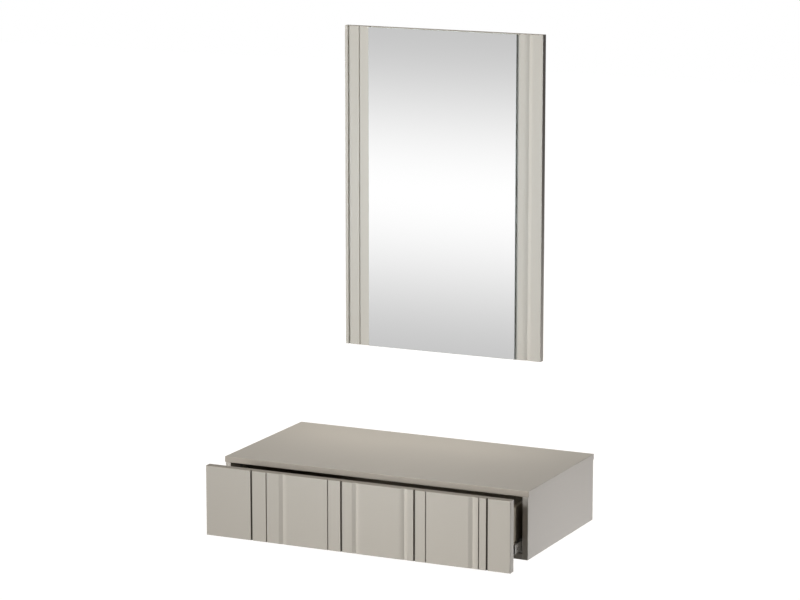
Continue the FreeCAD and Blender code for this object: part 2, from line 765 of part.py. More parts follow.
def build_slides():
    """Both telescopic slides, each of three members with a cage of balls in each of its two gaps."""
    middle_height = nested_height(slide_height)
    inner_height = nested_height(middle_height)
    outer_races = race_cuts(ball_rows(slide_height))
    inner_races = race_cuts(ball_rows(middle_height))
    cabinet_screws = slide_screw_places(side_inner - slide_metal)
    drawer_screws = slide_screw_places(box_half + slide_metal)
    outer_holes = [countersink(point, across, slide_screw_length) for point in cabinet_screws]
    spare = Vector(side_inner - slide_metal, slide_front + spare_hole_offset, slide_level)
    outer_holes.append(countersink(spare, across, slide_metal))
    inner_holes = [countersink(point, -across, slide_screw_length) for point in drawer_screws]
    outer = channel(0, outer_flange, slide_height).cut(outer_races + outer_holes)
    middle_face = side_inner - middle_web_offset - slide_metal
    middle_holes = [turned(Vector(middle_face, slide_front + place, slide_level), across,
                           [(middle_hole_radius, slide_metal)]) for place in middle_hole_places]
    middle = channel(middle_web_offset, middle_flange, middle_height)
    middle = middle.cut(outer_races + inner_races + middle_holes)
    inner = channel(slide_thickness, inner_flange, inner_height).cut(inner_races + inner_holes)
    outer_cage, outer_balls = ball_cage(outer_cage_offset, slide_height)
    inner_cage, inner_balls = ball_cage(inner_cage_offset, middle_height)
    save_pair("slide_outer", outer)
    save_pair("slide_middle", moved_out([middle], middle_share)[0])
    save_pair("slide_inner", moved_out([inner], 1)[0])
    save_pair("outer_cage", moved_out([outer_cage], outer_cage_share)[0])
    save_pair("inner_cage", moved_out([inner_cage], inner_cage_share)[0])
    save("outer_balls", moved_out(on_both_sides(outer_balls), outer_cage_share))
    save("inner_balls", moved_out(on_both_sides(inner_balls), inner_cage_share))
    screws = [countersunk(point, across, slide_screw_length) for point in cabinet_screws]
    save("slide_outer_screws", on_both_sides(screws))
    screws = [countersunk(point, -across, slide_screw_length) for point in drawer_screws]
    save("slide_inner_screws", moved_out(on_both_sides(screws), 1))


def build_mirror():
    """Mirror board, pane, tapes and hanger plates."""
    screws = [countersunk(point, forward, keyhole_screw_length) for point in keyhole_screw_places()]
    save("mirror_board", [mirror_board()])
    save("mirror_glass", [mirror_glass()])
    save("mirror_tape", mirror_tape())
    save_pair("mirror_hanger", keyhole_plate())
    save("mirror_hanger_screws", on_both_sides(screws))


os.makedirs("parts", exist_ok=True)
build_cabinet()
build_hangers()
build_drawer()
build_slides()
build_mirror()
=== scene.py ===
"""Wall-hung dressing table, a drawer cabinet with a mirror above it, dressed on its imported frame."""

import logging
import math
from dataclasses import dataclass
from enum import Enum
from functools import reduce
from operator import or_
from typing import Any, Callable, Mapping, NamedTuple, Sequence, Union

import bpy
import numpy as np
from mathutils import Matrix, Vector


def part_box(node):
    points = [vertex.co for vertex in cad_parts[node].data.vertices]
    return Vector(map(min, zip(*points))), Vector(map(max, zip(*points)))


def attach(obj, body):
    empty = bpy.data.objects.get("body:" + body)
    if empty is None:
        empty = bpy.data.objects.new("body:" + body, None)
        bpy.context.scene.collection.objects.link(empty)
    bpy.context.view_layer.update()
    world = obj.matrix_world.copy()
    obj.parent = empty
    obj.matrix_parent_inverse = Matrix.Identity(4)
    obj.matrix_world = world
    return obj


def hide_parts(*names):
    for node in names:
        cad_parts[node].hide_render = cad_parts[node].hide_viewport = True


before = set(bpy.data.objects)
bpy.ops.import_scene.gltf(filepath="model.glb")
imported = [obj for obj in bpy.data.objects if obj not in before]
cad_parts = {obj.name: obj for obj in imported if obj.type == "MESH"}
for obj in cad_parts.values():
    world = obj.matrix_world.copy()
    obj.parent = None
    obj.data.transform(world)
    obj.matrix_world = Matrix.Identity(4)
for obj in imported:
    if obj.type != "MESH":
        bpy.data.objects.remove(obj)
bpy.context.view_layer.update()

LOG = logging.getLogger("dressing_table")
MM = 0.001
TURN = 2 * math.pi
DIAGONAL = math.sqrt(0.5)
FLOOR_LEVEL = -0.70


class Rgb(NamedTuple):
    """A colour as a screen shows it, each channel from 0 to 255."""

    red: int
    green: int
    blue: int

    def linear(self) -> tuple[float, float, float, float]:
        """The colour as light, by the screen's curve: a straight foot, and above it a power of 2.4.

        Returns:
            Red, green, blue and full opacity.
        """
        shares = np.array(self, float) / 255
        light = np.where(shares <= 0.04045, shares / 12.92, ((shares + 0.055) / 1.055) ** 2.4)
        return (*light.tolist(), 1.0)


class Axis(Enum):
    """Axes of the frame, as places in a point."""

    ACROSS = 0
    DEPTH = 1
    UP = 2


class Facing(Enum):
    """Which way a face looks: an axis of the frame and the sign on it."""

    LEFT = (Axis.ACROSS, -1)
    RIGHT = (Axis.ACROSS, 1)
    FRONT = (Axis.DEPTH, -1)
    REAR = (Axis.DEPTH, 1)
    UNDER = (Axis.UP, -1)
    TOP = (Axis.UP, 1)


class Ray(Enum):
    """Kinds of rays that a lit thing can tell apart."""

    CAMERA = "Is Camera Ray"
    GLOSSY = "Is Glossy Ray"
    THROUGH = "Is Transmission Ray"


class SeatEnd(Enum):
    """Which end of a turned piece its face is on."""

    WIDEST = "widest"
    SOCKET = "socket"
    LOW = "low"


class HeadForm(Enum):
    """Shapes of a screw's head."""

    COUNTERSUNK = "countersunk"
    PAN = "pan"


def math_operator(operation: str, flipped: bool = False) -> Callable[["Value", "Operand"], "Value"]:
    """An operator of Value, which adds one Math node.

    Args:
        operation: what the node does.
        flipped: whether the value stands on the operator's right.

    Returns:
        The operator's method.
    """

    def apply(value: "Value", other: "Operand") -> "Value":
        """The node's result for two operands."""
        operands = (other, value) if flipped else (value, other)
        return value.graph.math(operation, *operands)

    return apply


class Value:
    """A shader value that takes part in Python expressions.

    A comparison gives one where it holds and otherwise nought, and a bar gives the larger of two
    values, which joins two masks.
    """

    __add__, __radd__ = math_operator("ADD"), math_operator("ADD", flipped=True)
    __sub__, __rsub__ = math_operator("SUBTRACT"), math_operator("SUBTRACT", flipped=True)
    __mul__, __rmul__ = math_operator("MULTIPLY"), math_operator("MULTIPLY", flipped=True)
    __or__, __ror__ = math_operator("MAXIMUM"), math_operator("MAXIMUM", flipped=True)
    __pow__ = math_operator("POWER")
    __gt__ = math_operator("GREATER_THAN")

    def __init__(self, graph: "ShaderGraph", socket: bpy.types.NodeSocket) -> None:
        """Wrap a socket of a graph."""
        self.graph = graph
        self.socket = socket

    def step(self, low: float, high: float) -> "Value":
        """Smooth step of this value.

        Args:
            low: value at which the step is nought.
            high: value at which the step is one.

        Returns:
            The step, from nought to one.
        """
        sockets = {"Value": self, "From Min": low, "From Max": high}
        made = self.graph.node("ShaderNodeMapRange", sockets, interpolation_type="SMOOTHSTEP")
        return Value(self.graph, made.outputs["Result"])


Operand = Union[Value, float]
Colour = Union[Rgb, bpy.types.NodeSocket]
Sockets = Mapping[str | int, Any]
Stretch = tuple[float, float, float]


class ShaderGraph:
    """A node tree under construction, with the patterns that the finishes share."""

    def __init__(self, tree: bpy.types.NodeTree) -> None:
        """Start on an emptied node tree."""
        self.tree = tree
        tree.nodes.clear()

    def node(self, kind: str, sockets: Sockets | None = None, **settings: str) -> bpy.types.Node:
        """Add any node.

        Args:
            kind: the node's type.
            sockets: values or links of its inputs, by name or place.
            settings: its own settings, which are set first.

        Returns:
            The new node.
        """
        made = self.tree.nodes.new(kind)
        for name, setting in settings.items():
            setattr(made, name, setting)
        for key, value in (sockets or {}).items():
            self._feed(made.inputs[key], value)
        return made

    def _feed(self, socket: bpy.types.NodeSocket, value: Any) -> None:
        """Link a socket to a value, or set it.

        Args:
            socket: the input to feed.
            value: a Value, a socket, a colour or plain numbers.
        """
        if isinstance(value, Value):
            value = value.socket
        if isinstance(value, bpy.types.NodeSocket):
            self.tree.links.new(value, socket)
        else:
            socket.default_value = value.linear() if isinstance(value, Rgb) else value

    def math(self, operation: str, *operands: Operand) -> Value:
        """Result of one Math node, which does an operation on its operands."""
        made = self.node("ShaderNodeMath", dict(enumerate(operands)), operation=operation)
        return Value(self, made.outputs[0])

    def places(self, stretch: Stretch | None = None) -> bpy.types.NodeSocket:
        """Object coordinates.

        Args:
            stretch: factors on the three axes, where a pattern is drawn out along one.

        Returns:
            The coordinates' socket.
        """
        made = self.node("ShaderNodeTexCoord").outputs["Object"]
        if stretch is None:
            return made
        return self.node("ShaderNodeMapping", {"Vector": made, "Scale": stretch}).outputs[0]

    def place(self, axis: Axis) -> Value:
        """One object coordinate, in metres."""
        made = self.node("ShaderNodeSeparateXYZ", {0: self.places()})
        return Value(self, made.outputs[axis.value])

    def facing(self, *ways: Facing, share: float = DIAGONAL) -> Value:
        """Mask of the faces that look one of some ways.

        Args:
            ways: the ways to mark.
            share: the least cosine between a marked face's normal and the way.

        Returns:
            One on those faces, and otherwise nought.
        """
        normal = self.node("ShaderNodeTexCoord").outputs["Normal"]
        parts = self.node("ShaderNodeSeparateXYZ", {0: normal}).outputs
        sides = (way.value for way in ways)
        return reduce(or_, (sign * Value(self, parts[axis.value]) > share for axis, sign in sides))

    def noise(self, scale: float, detail: float = 2.0, stretch: Stretch | None = None) -> Value:
        """Soft noise from nought to one: its waves in a metre, finer octaves and factors on the axes."""
        sockets = {"Vector": self.places(stretch), "Scale": scale, "Detail": detail}
        return Value(self, self.node("ShaderNodeTexNoise", sockets).outputs[0])

    def flakes(self, scale: float, stretch: Stretch | None = None) -> tuple[Value, Value]:
        """Random cells.

        Args:
            scale: cells in a metre.
            stretch: factors on the three axes.

        Returns:
            Each cell's own random value, and the distance from its middle.
        """
        sockets = {"Vector": self.places(stretch), "Scale": scale}
        made = self.node("ShaderNodeTexVoronoi", sockets)
        parts = self.node("ShaderNodeSeparateColor", {0: made.outputs["Color"]})
        return Value(self, parts.outputs[0]), Value(self, made.outputs["Distance"])

    def blend(self, share: Operand, first: Colour, second: Colour) -> bpy.types.NodeSocket:
        """Mix of two colours: the first where the share is nought, and the second where it is one."""
        made = self.node("ShaderNodeMix", {0: share, 6: first, 7: second}, data_type="RGBA")
        return made.outputs[2]

    def relief(self, height: Value, depth: float) -> bpy.types.NodeSocket:
        """Normal bumped by a height from nought to one, where one is the depth in metres."""
        return self.node("ShaderNodeBump", {"Distance": depth, "Height": height}).outputs[0]

    def principled(self, **sockets: Any) -> bpy.types.NodeSocket:
        """Principled shader, with its inputs by name and underscores for spaces."""
        named = {name.replace("_", " "): value for name, value in sockets.items()}
        return self.node("ShaderNodeBsdfPrincipled", named).outputs[0]

    def rays(self, *kinds: Ray) -> Value:
        """Mask of some kinds of rays: one for those, and otherwise nought."""
        path = self.node("ShaderNodeLightPath")
        return reduce(or_, (Value(self, path.outputs[kind.value]) for kind in kinds))


@dataclass(frozen=True)
class Finish:
    """A named surface finish."""

    name: str

    def shader(self, graph: ShaderGraph) -> bpy.types.NodeSocket:
        """Draw the finish on a graph; each kind of finish has its own."""
        raise NotImplementedError

    def material(self) -> bpy.types.Material:
        """Make the finish's material once.

        Returns:
            The material.
        """
        known = bpy.data.materials.get(self.name)
        if known is not None:
            return known
        made = bpy.data.materials.new(self.name)
        made.use_nodes = True
        graph = ShaderGraph(made.node_tree)
        surface = self.shader(graph)
        graph.node("ShaderNodeOutputMaterial", {"Surface": surface})
        return made


@dataclass(frozen=True)
class Chipboard:
    """Raw edge of a board: pressed wood flakes."""

    pale: Rgb = Rgb(196, 168, 128)
    dark: Rgb = Rgb(126, 94, 62)
    flakes_per_metre: float = 420.0

    def draw(self, graph: ShaderGraph) -> tuple[bpy.types.NodeSocket, Value]:
        """Colour and relief of the flakes.

        Args:
            graph: where to draw them.

        Returns:
            Their colour, and their height from nought to one.
        """
        flake, edge = graph.flakes(self.flakes_per_metre, (1.0, 1.0, 2.2))
        crumb = graph.noise(2.5 * self.flakes_per_metre, 3.0)
        height = 0.7 * flake + 0.5 * crumb - 0.4 * edge
        return graph.blend(height, self.dark, self.pale), height


@dataclass(frozen=True)
class MottledFinish(Finish):
    """A plain colour with faint clouds and fine flecks in it, which also vary its sheen."""

    shade: Rgb = Rgb(178, 172, 163)
    light: Rgb = Rgb(188, 182, 173)
    clouds_per_metre: float = 7.0
    flecks_per_metre: float = 620.0
    roughness: float = 0.40
    cloud_gloss: float = 0.07
    fleck_gloss: float = 0.10
    index: float = 1.9

    def mottle(self, graph: ShaderGraph) -> tuple[Value, Value, Value]:
        """Clouds and flecks as soft noises, whose weighted sums give the tone and the roughness.

        Args:
            graph: where to draw them.

        Returns:
            The tone from shade to light, the flecks alone, and the roughness.
        """
        cloud = graph.noise(self.clouds_per_metre, 3.0)
        fleck = graph.noise(self.flecks_per_metre)
        tone = 0.25 + 0.3 * cloud + 0.3 * (fleck - 0.5)
        gloss = self.roughness + self.cloud_gloss * (cloud - 0.5) + self.fleck_gloss * (fleck - 0.5)
        return tone, fleck, gloss


@dataclass(frozen=True)
class Laminate(MottledFinish):
    """Melamine-faced board in one plain colour, with glued bands on some edges and a raw rear edge."""

    bands: tuple[tuple[Facing, float], ...] = ()
    band: float = 1.0 * MM
    seam: float = 0.18 * MM
    # Colour of front-facing faces; the top and bottom panels set it darker as painted shade from the open
    # drawer front.
    front: Rgb = Rgb(182, 176, 167)
    glue: Rgb = Rgb(120, 112, 100)
    pearls_per_metre: float = 1500.0
    relief: float = 0.12 * MM
    raw_roughness: float = 0.85
    front_shade_share: float = 0.85
    seam_share: float = 0.45
    edge: Chipboard = Chipboard()

    @classmethod
    def on(cls, name: str, node: str, *banded: Facing, **tones: Rgb) -> "Laminate":
        """The laminate of one board, with the planes of its banded edges taken from the frame.

        Args:
            name: the finish's name.
            node: the board's CAD node.
            banded: which edges have a band.
            tones: colours of its own.

        Returns:
            The finish.
        """
        low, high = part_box(node)
        corners = {-1: low, 1: high}
        planes = ((way, *way.value) for way in banded)
        bands = tuple((way, corners[sign][axis.value]) for way, axis, sign in planes)
        return cls(name, bands=bands, **tones)

    def seams(self, graph: ShaderGraph) -> Operand:
        """Hairlines where the bands meet the faces.

        Args:
            graph: where to draw them.

        Returns:
            One on a seam, and nought away from it.
        """
        lines = []
        for way, plane in self.bands:
            axis, sign = way.value
            away = graph.math("ABSOLUTE", sign * (plane - graph.place(axis)) - self.band)
            lines.append(1 - away.step(0.3 * self.seam, self.seam))
        return reduce(or_, lines, 0.0)

    def shader(self, graph: ShaderGraph) -> bpy.types.NodeSocket:
        """Plain colour with faint clouds, a fine pearl relief, band seams, a front tone on front faces that
        is painted shade on the top and bottom panels, and a chipboard rear edge.

        Args:
            graph: where to draw it.

        Returns:
            The shader's socket.
        """
        tone, _, gloss = self.mottle(graph)
        seam = self.seams(graph)
        face = graph.blend(tone, self.shade, self.light)
        # Painted shade: front-facing faces blend into the front tone, darker on the top and bottom panels.
        face = graph.blend(self.front_shade_share * graph.facing(Facing.FRONT), face, self.front)
        colour = graph.blend(self.seam_share * seam, face, self.glue)
        pearl = graph.noise(self.pearls_per_metre, 1.0)
        bare = graph.facing(Facing.REAR)
        wood, flakes = self.edge.draw(graph)
        height = (0.1 * pearl - 0.2 * seam) * (1 - bare) + flakes * bare
        return graph.principled(
            Base_Color=graph.blend(bare, colour, wood),
            Roughness=gloss + (self.raw_roughness - self.roughness) * bare,
            IOR=self.index,
            Normal=graph.relief(height, self.relief),
        )


@dataclass(frozen=True)
class MilledFoil(MottledFinish):
    """Matt foil drawn over a milled board, with a plain backing paper on the rear."""

    face: float = 0.0
    back: float = 1.0
    half_width: float = 1.0
    shade: Rgb = Rgb(178, 172, 162)
    light: Rgb = Rgb(190, 184, 174)
    clouds_per_metre: float = 5.0
    flecks_per_metre: float = 780.0
    roughness: float = 0.45
    cloud_gloss: float = 0.08
    pebbles_per_metre: float = 1150.0
    relief: float = 0.03 * MM
    # Painted shade: the darker tone laid in the grooves and on their side walls; the bores' bare fibre is
    # flecked with it too.
    groove_shade_and_fibre_fleck: Rgb = Rgb(96, 90, 80)
    # Top and underside faces take this darker tone.
    ends: Rgb = Rgb(135, 127, 115)
    backing: Rgb = Rgb(182, 177, 168)
    fibre: Rgb = Rgb(164, 130, 94)
    # Depths over which the painted groove shade fades in, and its share on side walls.
    groove_shade_start: float = 3.1 * MM
    groove_shade_full: float = 4.6 * MM
    wall_shade_share: float = 0.65
    end_margin: float = 4.0 * MM
    bore_depth: float = 0.3 * MM

    @classmethod
    def on(cls, name: str, node: str, **tones: Rgb) -> "MilledFoil":
        """The foil of one milled board, with its face, back and width taken from the node's box."""
        low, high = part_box(node)
        return cls(name, face=low.y, back=high.y, half_width=high.x, **tones)

    def shader(self, graph: ShaderGraph) -> bpy.types.NodeSocket:
        """Pebbled foil with faint clouds, painted shade and a duller sheen in the grooves and on their side
        walls, darker top and underside faces, and bare fibre in the rear's bores.

        Args:
            graph: where to draw it.

        Returns:
            The shader's socket.
        """
        tone, fleck, gloss = self.mottle(graph)
        rear = graph.facing(Facing.REAR)
        depth = graph.place(Axis.DEPTH) - self.face
        bored = rear * (self.back - self.face - depth > self.bore_depth)
        paper = graph.blend(bored, self.backing, graph.blend(fleck, self.groove_shade_and_fibre_fleck, self.fibre))
        aside = graph.math("ABSOLUTE", graph.place(Axis.ACROSS))
        top_and_underside = graph.facing(Facing.TOP, Facing.UNDER)
        rim = top_and_underside | rear | (aside > self.half_width - self.end_margin)
        # Painted shade: sideways walls and deep groove floors darken towards the groove tone, away from the
        # rim.
        walls = self.wall_shade_share * graph.facing(Facing.LEFT, Facing.RIGHT)
        sunk = (walls | depth.step(self.groove_shade_start, self.groove_shade_full)) * (1 - rim)
        foil = graph.blend(sunk, graph.blend(tone, self.shade, self.light), self.groove_shade_and_fibre_fleck)
        # Top and underside faces are darker, in the ends tone.
        foil = graph.blend(top_and_underside, foil, graph.blend(0.2 * tone, self.ends, self.light))
        pebble = graph.noise(self.pebbles_per_metre)
        return graph.principled(
            Base_Color=graph.blend(rear, foil, paper),
            Roughness=gloss + 0.3 * (sunk | bored) - 0.1 * rear,
            IOR=self.index,
            Normal=graph.relief(pebble, self.relief),
        )


@dataclass(frozen=True)
class LinenBoard(Finish):
    """Drawer board with a printed linen weave, raw where no band is glued on."""

    thread: Rgb = Rgb(146, 137, 122)
    gap: Rgb = Rgb(124, 115, 101)
    threads_per_metre: float = 900.0
    thread_stretch: float = 0.06
    relief: float = 0.1 * MM
    raw: tuple[Facing, ...] = (Facing.REAR, Facing.UNDER)
    edge: Chipboard = Chipboard()

    def shader(self, graph: ShaderGraph) -> bpy.types.NodeSocket:
        """Crossed threads as two stretched noises, and chipboard on the raw edges.

        Args:
            graph: where to draw it.

        Returns:
            The shader's socket.
        """
        along = graph.noise(self.threads_per_metre, 1.0, (1.0, self.thread_stretch, 1.0))
        across = graph.noise(self.threads_per_metre, 1.0, (1.0, 1.0, self.thread_stretch))
        weave = (along | across) * 0.7 + 0.3 * along * across
        bare = graph.facing(*self.raw)
        wood, flakes = self.edge.draw(graph)
        colour = graph.blend(bare, graph.blend(weave, self.gap, self.thread), wood)
        return graph.principled(
            Base_Color=colour,
            Roughness=0.5 + 0.1 * weave + 0.3 * bare,
            Normal=graph.relief(weave * (1 - bare) * 0.2 + flakes * bare, self.relief),
        )


@dataclass(frozen=True)
class Hardboard(Finish):
    """Thin hardboard, lacquered on one face and raw brown fibre on the rest."""

    lacquered: Facing = Facing.FRONT
    lacquer: Rgb = Rgb(152, 147, 139)
    fibre: Rgb = Rgb(134, 98, 64)
    fibre_dark: Rgb = Rgb(94, 66, 42)
    blotches_per_metre: float = 26.0
    strands_per_metre: float = 900.0
    specks_per_metre: float = 240.0
    relief: float = 0.05 * MM

    def shader(self, graph: ShaderGraph) -> bpy.types.NodeSocket:
        """Felted fibres as fine stretched noise under blotches, and a smooth lacquered face.

        Args:
            graph: where to draw it.

        Returns:
            The shader's socket.
        """
        face = graph.facing(self.lacquered)
        blotch = graph.noise(self.blotches_per_metre, 4.0)
        strand = graph.noise(self.strands_per_metre, 4.0, (1.0, 1.0, 0.35))
        felt = 0.45 * blotch + 0.55 * strand
        speckle = graph.noise(self.specks_per_metre, 3.0).step(0.62, 0.74)
        brown = graph.blend(felt - 0.35 * speckle, self.fibre_dark, self.fibre)
        return graph.principled(
            Base_Color=graph.blend(face, brown, self.lacquer),
            Roughness=0.75 - 0.3 * face + 0.08 * (blotch - 0.5),
            Normal=graph.relief(strand * (1 - 0.8 * face), self.relief),
        )


@dataclass(frozen=True)
class Steel(Finish):
    """Metal with crystals or grains, and fine marks drawn along the depth axis."""

    pale: Rgb = Rgb(206, 208, 210)
    dark: Rgb = Rgb(164, 167, 171)
    roughness: float = 0.32
    grains_per_metre: float = 260.0
    grain_share: float = 0.5
    mark_depth: float = 0.01 * MM
    marks_per_metre: float = 1100.0

    def shader(self, graph: ShaderGraph) -> bpy.types.NodeSocket:
        """Random grains in two greys under long rolling marks, which also roughen it.

        Args:
            graph: where to draw it.

        Returns:
            The shader's socket.
        """
        grain, _ = graph.flakes(self.grains_per_metre)
        mark = graph.noise(self.marks_per_metre, 3.0, (1.0, 0.03, 1.0))
        tone = self.grain_share * grain + (1 - self.grain_share) * mark
        return graph.principled(
            Base_Color=graph.blend(tone, self.dark, self.pale),
            Metallic=1.0,
            Roughness=self.roughness + 0.14 * (mark - 0.5) + 0.10 * (grain - 0.5),
            Normal=graph.relief(mark, self.mark_depth),
        )


@dataclass(frozen=True)
class Beech(Finish):
    """Turned beech with short dark rays."""

    pale: Rgb = Rgb(222, 188, 146)
    dark: Rgb = Rgb(178, 132, 88)
    grains_per_metre: float = 520.0
    rays_per_metre: float = 900.0
    relief: float = 0.04 * MM

    def shader(self, graph: ShaderGraph) -> bpy.types.NodeSocket:
        """Grain drawn out along the dowel, with darker rays in it.

        Args:
            graph: where to draw it.

        Returns:
            The shader's socket.
        """
        grain = graph.noise(self.grains_per_metre, 4.0, (0.12, 1.0, 1.0))
        ray = graph.noise(self.rays_per_metre, 1.0, (0.25, 1.0, 1.0)).step(0.6, 0.7)
        return graph.principled(
            Base_Color=graph.blend(grain - 0.4 * ray, self.dark, self.pale),
            Roughness=0.6 + 0.1 * ray,
            Normal=graph.relief(grain, self.relief),
        )


@dataclass(frozen=True)
class Silicone(Finish):
    """Milky clear silicone."""

    milk: Rgb = Rgb(226, 226, 222)
    dust: Rgb = Rgb(200, 198, 190)
    specks_per_metre: float = 700.0
    clear_share: float = 0.45
    index: float = 1.41

    def shader(self, graph: ShaderGraph) -> bpy.types.NodeSocket:
        """Half clear body with a little dust on it.

        Args:
            graph: where to draw it.

        Returns:
            The shader's socket.
        """
        dust = graph.noise(self.specks_per_metre, 3.0)
        return graph.principled(
            Base_Color=graph.blend(dust, self.milk, self.dust),
            Roughness=0.22 + 0.25 * dust,
            Transmission_Weight=self.clear_share,
            IOR=self.index,
        )


@dataclass(frozen=True)
class Foam(Finish):
    """Closed-cell foam tape."""

    pale: Rgb = Rgb(70, 70, 70)
    dark: Rgb = Rgb(40, 40, 40)
    cells_per_metre: float = 1600.0
    relief: float = 0.1 * MM

    def shader(self, graph: ShaderGraph) -> bpy.types.NodeSocket:
        """Small round cells with dark rims.

        Args:
            graph: where to draw it.

        Returns:
            The shader's socket.
        """
        _, rim = graph.flakes(self.cells_per_metre)
        return graph.principled(
            Base_Color=graph.blend(rim, self.pale, self.dark),
            Roughness=0.9 - 0.1 * rim,
            Normal=graph.relief(1 - rim, self.relief),
        )


@dataclass(frozen=True)
class SilveredGlass(Finish):
    """Mirror: silvered behind its front face, ground white along the arris, paint on the rear."""

    silver: Rgb = Rgb(252, 252, 252)
    ground: Rgb = Rgb(172, 176, 174)
    glass: Rgb = Rgb(206, 218, 212)
    paint: Rgb = Rgb(120, 124, 126)
    flat: float = 0.99
    arris: float = 0.10
    haze_per_metre: float = 11.0
    scratches_per_metre: float = 300.0

    def shader(self, graph: ShaderGraph) -> bpy.types.NodeSocket:
        """Metal on the flat front with a breath of haze, glossy edges, a matt arris and a dull rear.

        Args:
            graph: where to draw it.

        Returns:
            The shader's socket.
        """
        front = graph.facing(Facing.FRONT, share=self.flat)
        arris = graph.facing(Facing.FRONT, share=self.arris) - front
        rear = graph.facing(Facing.REAR)
        haze = graph.noise(self.haze_per_metre, 4.0)
        scratched = graph.noise(self.scratches_per_metre)
        edge = graph.blend(arris, graph.blend(front, self.glass, self.silver), self.ground)
        dull = arris | rear
        return graph.principled(
            Base_Color=graph.blend(rear, edge, self.paint),
            Metallic=front,
            Roughness=0.07 - 0.065 * front + 0.006 * haze + (0.3 + 0.1 * scratched) * dull,
        )


@dataclass(frozen=True)
class FloorPaint(Finish):
    """White studio floor that bounces light and keeps a soft shadow, and is clear from below."""

    bounce: Rgb = Rgb(112, 106, 96)
    near_glow: float = 0.935
    near_radius: float = 1.2
    far_radius: float = 2.6
    mirrored_glow: float = 0.47
    rear_glow: float = 1.04
    rear_edge_glow: float = 0.10
    rear_start: float = 1.5
    rear_radius: float = 5.0
    blend_reach: float = 1.0

    def shader(self, graph: ShaderGraph) -> bpy.types.NodeSocket:
        """White paint, with a glow for the rays that show it, full away from the object.

        In the mirror and on sheen the glow is dim before the object and brighter behind it.

        Args:
            graph: where to draw it.

        Returns:
            The shader's socket.
        """
        across = graph.place(Axis.ACROSS)
        depth = graph.place(Axis.DEPTH)
        reach = (across * across + depth * depth) ** 0.5
        seen = self.near_glow + (1 - self.near_glow) * reach.step(self.near_radius, self.far_radius)
        fall = (self.rear_glow - self.rear_edge_glow) * reach.step(self.rear_start, self.rear_radius)
        behind = depth.step(-self.blend_reach, self.blend_reach)
        mirrored = self.mirrored_glow * (1 - behind) + (self.rear_glow - fall) * behind
        glow = seen * graph.rays(Ray.CAMERA, Ray.THROUGH) + mirrored * graph.rays(Ray.GLOSSY)
        paint = graph.node("ShaderNodeBsdfDiffuse", {"Color": self.bounce}).outputs[0]
        light = graph.node("ShaderNodeEmission", {"Color": glow}).outputs[0]
        lit = graph.node("ShaderNodeAddShader", {0: paint, 1: light}).outputs[0]
        clear = graph.node("ShaderNodeBsdfTransparent").outputs[0]
        below = graph.node("ShaderNodeNewGeometry").outputs["Backfacing"]
        return graph.node("ShaderNodeMixShader", {0: below, 1: lit, 2: clear}).outputs[0]


@dataclass(frozen=True)
class CardPaint(Finish):
    """Graded reflector card that the mirror looks at: bright in one band and grey away from it."""

    band_height: float = 0.238
    half_band: float = 0.69
    bright: float = 1.03
    grey: float = 0.57
    foot: float = 0.527
    foot_high: float = -0.42

    def shader(self, graph: ShaderGraph) -> bpy.types.NodeSocket:
        """Brightness that falls off smoothly on both sides of the band, and to the floor's at the foot.

        Args:
            graph: where to draw it.

        Returns:
            The shader's socket.
        """
        height = graph.place(Axis.UP)
        away = graph.math("ABSOLUTE", height - self.band_height)
        light = self.bright - (self.bright - self.grey) * away.step(0.0, self.half_band)
        light = light - (self.grey - self.foot) * (1 - height.step(FLOOR_LEVEL, self.foot_high))
        return graph.node("ShaderNodeEmission", {"Color": light}).outputs[0]


@dataclass(frozen=True)
class Seat:
    """Where a turned piece sits: its face's middle, the way it goes in, its radius and length."""

    face: np.ndarray
    inward: np.ndarray
    radius: float
    length: float


